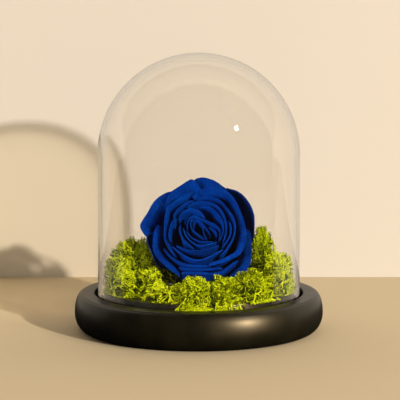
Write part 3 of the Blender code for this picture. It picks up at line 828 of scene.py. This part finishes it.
def clump_place(clump, order, direction, share):
    """Point of a clump in a direction of the unit sphere; share is 1 on its surface."""
    pattern = MOSS_LUMP_SIZE * direction + Vector((0, 0, MOSS_LUMP_SEED * order))
    lump = (1 - MOSS_LUMP * (0.5 + 0.5 * noise.noise(pattern))) * share
    level = (max(direction.z * lump, MOSS_FOOT) - MOSS_FOOT) / (1 - MOSS_FOOT)
    reach = lump * (1 - clump.peak * level)
    turn = radians(blend(clump.start, clump.end, -fuller(direction.x) * reach))
    radius = blend(clump.inner, clump.outer, fuller(direction.y) * reach)
    height = PLINTH_HEIGHT + GAP + clump.height * level
    return Vector((radius * cos(turn), radius * sin(turn), height))


def clump_share(clump, point):
    """How far out a point lies in a clump: 0 in its middle, 1 on its surface."""
    turn = (atan2(point.y, point.x) - radians(clump.start + clump.end) / 2 + pi) % (2 * pi) - pi
    radius = point.xy.length - (clump.inner + clump.outer) / 2
    level = max(0, (point.z - PLINTH_HEIGHT - GAP) / clump.height)
    reach = 1 - clump.peak * level
    below = PLINTH_HEIGHT - point.z
    if reach < NARROWEST or (below > 0 and not clump.hang):
        return OUTSIDE
    across = turn / (radians(clump.end - clump.start) / 2) / reach
    if below > 0:
        return max(abs(across), below / clump.hang)
    away = radius / ((clump.outer - clump.inner) / 2) / reach
    place = Vector((flatter(abs(across)), flatter(abs(away)), level * (1 - MOSS_FOOT) + MOSS_FOOT))
    return place.length * (1 + MOSS_LUMP / 2)


def between_walls(clump, point, margin):
    """Keeps a point inside the glass and off the plinth; by its edge, hanging moss goes past it."""
    reach = point.xy.length
    inner, outer = PLINTH_RADIUS + margin, GLASS_RADIUS - GLASS_WALL - margin
    if point.z < PLINTH_HEIGHT + margin and reach < inner:
        if clump.hang and reach > inner - EDGE_REACH:
            point.xy *= inner / reach
        else:
            point.z = PLINTH_HEIGHT + margin
    elif reach > outer:
        point.xy *= outer / reach
    return point


def turned_aside(rng, heading, angle):
    """A heading turned by an angle to a random side."""
    side = Vector((rng.gauss(0, 1), rng.gauss(0, 1), rng.gauss(0, 1)))
    aside = (side - side.dot(heading) * heading).normalized()
    return heading * cos(angle) + aside * sin(angle)


def grow(strands, rng, clump, tuft, base, heading, radius, limit, forks):
    """A branch of a tuft: it bends away from the tuft's heart and forks at its joints."""
    points, radii, shares = [base], [radius], [clump_share(clump, base)]
    for _ in range(forks + 2):
        away = (points[-1] - tuft).normalized()
        bent = turned_aside(rng, heading, rng.uniform(*BRANCH_BEND))
        heading = (bent + TUFT_SPREAD * away).normalized()
        length = rng.uniform(*STRETCH_MM) * (0.7 + 0.4 * forks) * clump.stout * MM
        end = between_walls(clump, points[-1] + heading * length, radius)
        share = clump_share(clump, end)
        # Tips stand out further here than there, in tufts a few millimetres wide
        if share > limit + RAGGED * noise.noise(end / RAGGED_SIZE):
            break
        radius *= STRAND_TAPER
        points.append(end)
        radii.append(radius)
        shares.append(share)
        if forks and rng.random() < FORK_CHANCE:
            aside = turned_aside(rng, heading, rng.uniform(*FORK_TURN))
            thinner = radius * STRAND_TAPER
            grow(strands, rng, clump, tuft, end, aside, thinner, limit, forks - 1)
    if len(points) > 1:
        radii[-1] = min(radii[-1], STRAND_TIP)
        strands.append((points, radii, shares))


def clump_strands(clump, order, settings):
    """Branches of one clump: tufts inside it, whose branches fork out to its surface."""
    rng = random.Random(FIRST_SEED + order)
    sweep = radians(clump.end - clump.start) * (clump.inner + clump.outer) / 2
    depth = clump.outer - clump.inner
    area = sweep * depth + 2 * clump.height * (sweep + depth)
    tufts = []
    for _ in range(max(FEWEST_TUFTS, round(clump.growth * area / settings.tuft**2))):
        direction = Vector((rng.gauss(0, 1), rng.gauss(0, 1), rng.gauss(0.3, 1))).normalized()
        direction = Vector((flatter(direction.x), flatter(direction.y), direction.z)).normalized()
        direction.z = max(direction.z, MOSS_FOOT)
        heart = clump_place(clump, order, direction, rng.uniform(*TUFT_DEPTHS))
        tufts.append((heart, (clump_place(clump, order, direction, 1.0) - heart).normalized()))
    if clump.hang:
        edge = radians(clump.end - clump.start) * PLINTH_RADIUS
        for _ in range(round(edge / HANG_SPACING)):
            turn = radians(rng.uniform(clump.start, clump.end))
            outwards = Vector((cos(turn), sin(turn), 0))
            heart = PLINTH_RADIUS * outwards
            heart.z = PLINTH_HEIGHT + rng.uniform(*HANG_RISE_MM) * MM
            tufts.append((heart, (outwards - Vector((0, 0, 1))).normalized()))
    strands = []
    radius = settings.strand * clump.stout
    for heart, outwards in tufts:
        for _ in range(settings.branches):
            heading = turned_aside(rng, outwards, abs(rng.gauss(0, BRANCH_SPREAD)))
            start = heart + heading * rng.uniform(*BRANCH_START_MM) * MM
            limit = clump.reach * rng.uniform(*TIP_REACH)
            grow(strands, rng, clump, heart, start, heading, radius, limit, FORKS)
    return strands


def strands_mesh(name, strands):
    """Thin four-sided tubes along the strands, as one mesh with a depth attribute."""
    curve = bpy.data.curves.new(name, "CURVE")
    curve.dimensions = "3D"
    curve.bevel_depth = 1.0
    curve.bevel_resolution = 0
    curve.use_fill_caps = True
    for points, radii, shares in strands:
        spline = curve.splines.new("POLY")
        spline.points.add(len(points) - 1)
        spline.points.foreach_set("co", [c for p in points for c in (*p, 1.0)])
        spline.points.foreach_set("radius", radii)
    holder = bpy.data.objects.new(name, curve)
    bpy.context.scene.collection.objects.link(holder)
    depsgraph = bpy.context.evaluated_depsgraph_get()
    data = bpy.data.meshes.new_from_object(holder.evaluated_get(depsgraph))
    bpy.data.objects.remove(holder)
    bpy.data.curves.remove(curve)
    # Each tube's last and first caps come before its rings of four points
    shares = [share for *_, tube in strands for share in (tube[-1], tube[0], *tube)]
    # The depth shares choose the moss's painted shade deep in the cushion and painted light at its
    # tips
    depth = np.repeat(shares, 4).astype(np.float32)
    data.attributes.new("depth", "FLOAT", "POINT").data.foreach_set("value", depth)
    return data


def add_moss(clump, order, settings, material):
    """One clump of moss: branches around a dark core of painted shade."""
    data = strands_mesh(clump.name + "_tangle", clump_strands(clump, order, settings))
    mesh = bmesh.new()
    mesh.from_mesh(data)
    depth = mesh.verts.layers.float["depth"]
    core = bmesh.ops.create_uvsphere(
        mesh, u_segments=CORE_SIDES, v_segments=CORE_SIDES // 2, radius=1
    )
    for vert in core["verts"]:
        direction = vert.co.normalized()
        lump = noise.noise(CORE_LUMPS * direction + Vector((order, 0, 0)))
        share = CORE_SHARE * (1 + CORE_LUMP * lump) * min(1, clump.growth)
        vert.co = clump_place(clump, order, direction, share)
        # The core is painted in the deep colour, as painted shade among the branches
        vert[depth] = CORE_SHADE_LEVEL
    mesh.to_mesh(data)
    mesh.free()
    data.materials.append(material)
    data.shade_smooth()
    piece = bpy.data.objects.new(clump.name + "_tangle", data)
    bpy.context.scene.collection.objects.link(piece)
    return piece


def colour_property(name, description, hex_value):
    """A colour that a user may change."""
    return FloatVectorProperty(
        name=name, description=description, subtype="COLOR", size=4, default=colour(hex_value)
    )


class BaseSettings(bpy.types.PropertyGroup):
    """The black base."""

    roughness: FloatProperty(
        name="Roughness", description="How soft the lacquer's glints are", default=0.36,
        min=0, max=1,
    )


class GlassSettings(bpy.types.PropertyGroup):
    """The glass bell."""

    tint: colour_property("Tint", "Colour of the glass", "#fffefc")
    shade: colour_property("Shade", "Light of the lamps that the glass lets through", "#fbf9f4")


class RoseSettings(bpy.types.PropertyGroup):
    """The bloom and what carries it."""

    centre: FloatVectorProperty(
        name="Centre", description="Middle of the bloom's outer rims", subtype="TRANSLATION",
        unit="LENGTH", default=(-0.8 * MM, -5.0 * MM, 53.5 * MM),
    )
    rise: FloatProperty(
        name="Rise", description="How far the bloom looks up from level", subtype="ANGLE",
        default=radians(28),
    )
    thickness: FloatProperty(
        name="Petal thickness", description="Thickness of a petal", unit="LENGTH", default=0.36 * MM
    )
    columns: IntProperty(name="Columns", description="Faces across a petal", default=44, min=6)
    rows: IntProperty(name="Rows", description="Faces from foot to rim", default=40, min=6)
    dark: colour_property("Dark dye", "Petal colour between the veins", "#001f66")
    light: colour_property("Light dye", "Petal colour on the veins", "#00358c")
    sheen: colour_property("Velvet", "Colour of the velvet sheen", "#0f5cf0")


class MossSettings(bpy.types.PropertyGroup):
    """The reindeer moss."""

    tuft: FloatProperty(
        name="Tuft", description="Mean distance between tufts", unit="LENGTH", default=6.5 * MM
    )
    branches: IntProperty(
        name="Branches", description="Branches from the heart of a tuft", default=7, min=1
    )
    strand: FloatProperty(
        name="Strand", description="Radius of a branch at its root", unit="LENGTH",
        default=0.36 * MM,
    )
    # Painted shade: the colour deep inside the cushion and on its core
    deep: colour_property("Deep", "Colour deep in the moss", "#465200")
    branch: colour_property("Branch", "Colour of the branches", "#aac000")
    # Painted light: the lighter colour of the outer tips
    lit_tip: colour_property("Tip", "Colour of the tips", "#dcea1e")


class StageSettings(bpy.types.PropertyGroup):
    """Floor, wall, lamps and camera."""

    distance: FloatProperty(
        name="Distance", description="Camera's distance from the middle of the view",
        unit="LENGTH", default=2.577,
    )
    rise: FloatProperty(
        name="Rise", description="Camera's height over level", subtype="ANGLE",
        default=radians(9.59),
    )
    middle: FloatVectorProperty(
        name="Middle", description="Middle of the view", subtype="TRANSLATION", unit="LENGTH",
        default=(0.62 * MM, 0, 65.6 * MM),
    )
    view_width: FloatProperty(
        name="View width", description="Width of the view at the object", unit="LENGTH",
        default=198.6 * MM,
    )
    floor: colour_property("Floor", "Colour of the floor", "#d8c8a9")
    wall: colour_property("Wall", "Colour of the wall", "#e0dbd3")


class RoseDomeSettings(bpy.types.PropertyGroup):
    """All sizes and colours a user would change."""

    base: PointerProperty(type=BaseSettings)
    glass: PointerProperty(type=GlassSettings)
    rose: PointerProperty(type=RoseSettings)
    moss: PointerProperty(type=MossSettings)
    stage: PointerProperty(type=StageSettings)


class ROSEDOME_OT_base(bpy.types.Operator):
    """Turn the black base with its groove and plinth"""

    bl_idname = "rose_dome.base"
    bl_label = "Base"

    def execute(self, context):
        material = black_lacquer(context.scene.rose_dome.base)
        piece = turned("turned_base", base_profile(), BASE_SEGMENTS, material)
        finish_piece(piece, "base")
        return {"FINISHED"}


class ROSEDOME_OT_glass(bpy.types.Operator):
    """Blow the glass bell"""

    bl_idname = "rose_dome.glass"
    bl_label = "Glass bell"

    def execute(self, context):
        material = blown_glass(context.scene.rose_dome.glass)
        piece = turned("glass_bell", glass_profile(), GLASS_SEGMENTS, material)
        finish_piece(piece, "glass_dome")
        return {"FINISHED"}


class ROSEDOME_OT_petals(bpy.types.Operator):
    """Open the bloom's petals, from the heart outwards"""

    bl_idname = "rose_dome.petals"
    bl_label = "Petals"

    def execute(self, context):
        settings = context.scene.rose_dome.rose
        material = velvet_petal(settings)
        matrix = bloom_matrix(settings)
        for order, petal in enumerate(PETALS):
            piece = add_sheet(
                f"rose_petal_{order + 1:02d}",
                settings.columns,
                settings.rows,
                lambda u, petal=petal, order=order: petal_column(petal, order, u),
                settings.thickness,
                material,
                matrix,
            )
            finish_piece(piece, f"petal_{order + 1:02d}")
        return {"FINISHED"}


class ROSEDOME_OT_stem(bpy.types.Operator):
    """Grow the hip, the stem and the sepals that carry the bloom"""

    bl_idname = "rose_dome.stem"
    bl_label = "Stem and sepals"

    def execute(self, context):
        settings = context.scene.rose_dome.rose
        matrix = bloom_matrix(settings)
        material = rose_green()
        mesh = stem_mesh(matrix, settings.rise)
        finish_piece(add_object("hip_and_stem", mesh, material), "stem")
        for index in range(SEPALS):
            aside = Matrix.Rotation(pi / 2 + 2 * pi * index / SEPALS, 4, "Z")
            piece = add_sheet(
                f"green_sepal_{index + 1}",
                SEPAL_COLUMNS,
                SEPAL_ROWS,
                sepal_column,
                SEPAL_THICKNESS,
                material,
                matrix @ aside,
            )
            finish_piece(piece, f"sepal_{index + 1}")
        return {"FINISHED"}


class ROSEDOME_OT_moss(bpy.types.Operator):
    """Grow the clumps of reindeer moss"""

    bl_idname = "rose_dome.moss"
    bl_label = "Moss"

    def execute(self, context):
        settings = context.scene.rose_dome.moss
        material = reindeer_moss(settings)
        for order, clump in enumerate(MOSS_CLUMPS):
            piece = add_moss(clump, order, settings, material)
            finish_piece(piece, clump.name)
        return {"FINISHED"}


def add_lamp(name, azimuth, elevation, distance, size, power, tint, lit=()):
    """A square lamp that looks at the object, azimuth degrees to the camera's right.

    lit names the pieces it lights, and stays empty for a lamp that lights all.
    """
    lamp = bpy.data.lights.new(name, "AREA")
    lamp.size = size
    lamp.energy = power
    lamp.color = colour(tint)[:3]
    holder = bpy.data.objects.new(name, lamp)
    flat = cos(radians(elevation))
    towards = Vector(
        (sin(radians(azimuth)) * flat, -cos(radians(azimuth)) * flat, sin(radians(elevation)))
    )
    holder.location = Vector((0, 0, 0.06)) + towards * distance
    holder.rotation_euler = towards.to_track_quat("Z", "Y").to_euler()
    # Its light passes the glass by shadow rays, so it isn't met a second time by refracted ones
    holder.visible_transmission = False
    bpy.context.scene.collection.objects.link(holder)
    if lit:
        receivers = bpy.data.collections.new(f"lit_by_the_{name}")
        for each in lit:
            receivers.objects.link(bpy.data.objects[each])
        holder.light_linking.receiver_collection = receivers
    return holder


def add_plain(name, corners, tint, one_sided=False):
    """A plain matt sheet of the stage: a one-sided one is clear from behind, another is dim
    where the lacquer mirrors it.
    """
    material, tree, output = new_material(name + "_paint")
    grain = bumped(tree, mottle(tree, 3.33, 3.0), 0.04, 0.5)
    matt = paint(tree, output, {
        "Base Color": tint[:],
        "Roughness": 0.8,
        "Normal": grain,
        "Specular IOR Level": 0.2,
    })
    if one_sided:
        where = add_node(tree, "ShaderNodeNewGeometry").outputs["Backfacing"]
        other = add_node(tree, "ShaderNodeBsdfTransparent")
    else:
        glints = add_node(tree, "ShaderNodeLightPath").outputs["Glossy Depth"]
        where = calculate(tree, "GREATER_THAN", glints, 0.5)
        other = add_node(tree, "ShaderNodeBsdfDiffuse", {"Color": colour("#30302c")})
    surface = add_node(
        tree,
        "ShaderNodeMixShader",
        {0: where, 1: matt, 2: other.outputs["BSDF"]},
    )
    tree.links.new(surface.outputs["Shader"], output.inputs["Surface"])
    mesh = bmesh.new()
    mesh.faces.new([mesh.verts.new(corner) for corner in corners])
    add_object(name, mesh, material)


def studio_world():
    """A pale room for the eye, dim for the pieces it lights and for their reflections."""
    world = bpy.data.worlds.new("studio")
    world.use_nodes = True
    tree = world.node_tree
    tree.nodes.clear()
    path = add_node(tree, "ShaderNodeLightPath").outputs
    # A ray that went through both walls of the bell has met glass four times
    scattered = calculate(tree, "GREATER_THAN", path["Diffuse Depth"], 0.5)
    through = calculate(tree, "GREATER_THAN", path["Transmission Depth"], 3.5)
    unscattered = calculate(tree, "SUBTRACT", 1.0, scattered)
    looking = calculate(tree, "MAXIMUM", path["Is Camera Ray"], through)
    seen = calculate(tree, "MULTIPLY", calculate(tree, "MULTIPLY", looking, unscattered), 0.8)
    strength = calculate(tree, "MAXIMUM", seen, calculate(tree, "MULTIPLY", scattered, 0.16))
    strength = calculate(tree, "MAXIMUM", strength, 0.05)
    back = add_node(
        tree, "ShaderNodeBackground", {"Color": colour("#f2e6d2"), "Strength": strength}
    )
    output = add_node(tree, "ShaderNodeOutputWorld")
    tree.links.new(back.outputs["Background"], output.inputs["Surface"])
    return world


class ROSEDOME_OT_stage(bpy.types.Operator):
    """Set the floor, the wall, the lamps and the camera"""

    bl_idname = "rose_dome.stage"
    bl_label = "Stage"

    def execute(self, context):
        scene = context.scene
        settings = scene.rose_dome.stage
        wide, far = 1.6, 0.145
        floor = ((-wide, -wide, 0), (wide, -wide, 0), (wide, wide, 0), (-wide, wide, 0))
        wall = ((-wide, far, 0), (wide, far, 0), (wide, far, wide), (-wide, far, wide))
        add_plain("floor", floor, settings.floor)
        add_plain("wall", wall, settings.wall, one_sided=True)
        add_lamp("key", 35.5, 19.5, 6.0, 0.14, 360, "#fff4e6").visible_glossy = False
        add_lamp("fill", -30, 50, 1.6, 1.6, 1.5, "#fff6ea").visible_glossy = False
        add_lamp("glint", 51, 33, 2.0, 0.16, 6, "#ffe9c8")
        add_lamp("sheen", 45.5, 11.5, 2.0, 0.3, 56, "#ffdda8", ["turned_base"])
        petals = [each.name for each in scene.objects if each.name.startswith("rose_petal")]
        tangles = [each.name for each in scene.objects if each.name.endswith("_tangle")]
        add_lamp("petal_fill", -42, -1, 1.6, 1.0, 80, "#f2f4ff", petals).visible_glossy = False
        add_lamp("moss_fill", 0, 20, 1.6, 1.2, 15, "#fff6ea", tangles).visible_glossy = False
        scene.world = studio_world()

        camera = bpy.data.cameras.new("camera")
        holder = bpy.data.objects.new("camera", camera)
        back = Vector((0, -cos(settings.rise), sin(settings.rise)))
        holder.location = Vector(settings.middle) + back * settings.distance
        holder.rotation_euler = back.to_track_quat("Z", "Y").to_euler()
        camera.sensor_width = 36
        camera.lens = camera.sensor_width * settings.distance / settings.view_width
        scene.collection.objects.link(holder)
        scene.camera = holder
        scene.view_settings.view_transform = "Standard"
        return {"FINISHED"}


class ROSEDOME_PT_panel(bpy.types.Panel):
    """Builds the pieces one by one"""

    bl_label = "Rose Dome"
    bl_space_type = "VIEW_3D"
    bl_region_type = "UI"
    bl_category = "Rose Dome"

    def draw(self, context):
        for operator in OPERATORS:
            self.layout.operator(operator.bl_idname)


OPERATORS = (
    ROSEDOME_OT_base,
    ROSEDOME_OT_glass,
    ROSEDOME_OT_petals,
    ROSEDOME_OT_stem,
    ROSEDOME_OT_moss,
    ROSEDOME_OT_stage,
)
CLASSES = (
    BaseSettings,
    GlassSettings,
    RoseSettings,
    MossSettings,
    StageSettings,
    RoseDomeSettings,
    *OPERATORS,
    ROSEDOME_PT_panel,
)


def register():
    for each in CLASSES:
        bpy.utils.register_class(each)
    bpy.types.Scene.rose_dome = PointerProperty(type=RoseDomeSettings)


def unregister():
    del bpy.types.Scene.rose_dome
    for each in reversed(CLASSES):
        bpy.utils.unregister_class(each)


def main():
    register()
    bpy.ops.rose_dome.base()
    bpy.ops.rose_dome.glass()
    bpy.ops.rose_dome.petals()
    bpy.ops.rose_dome.stem()
    bpy.ops.rose_dome.moss()
    bpy.ops.rose_dome.stage()


if __name__ == "__main__":
    main()
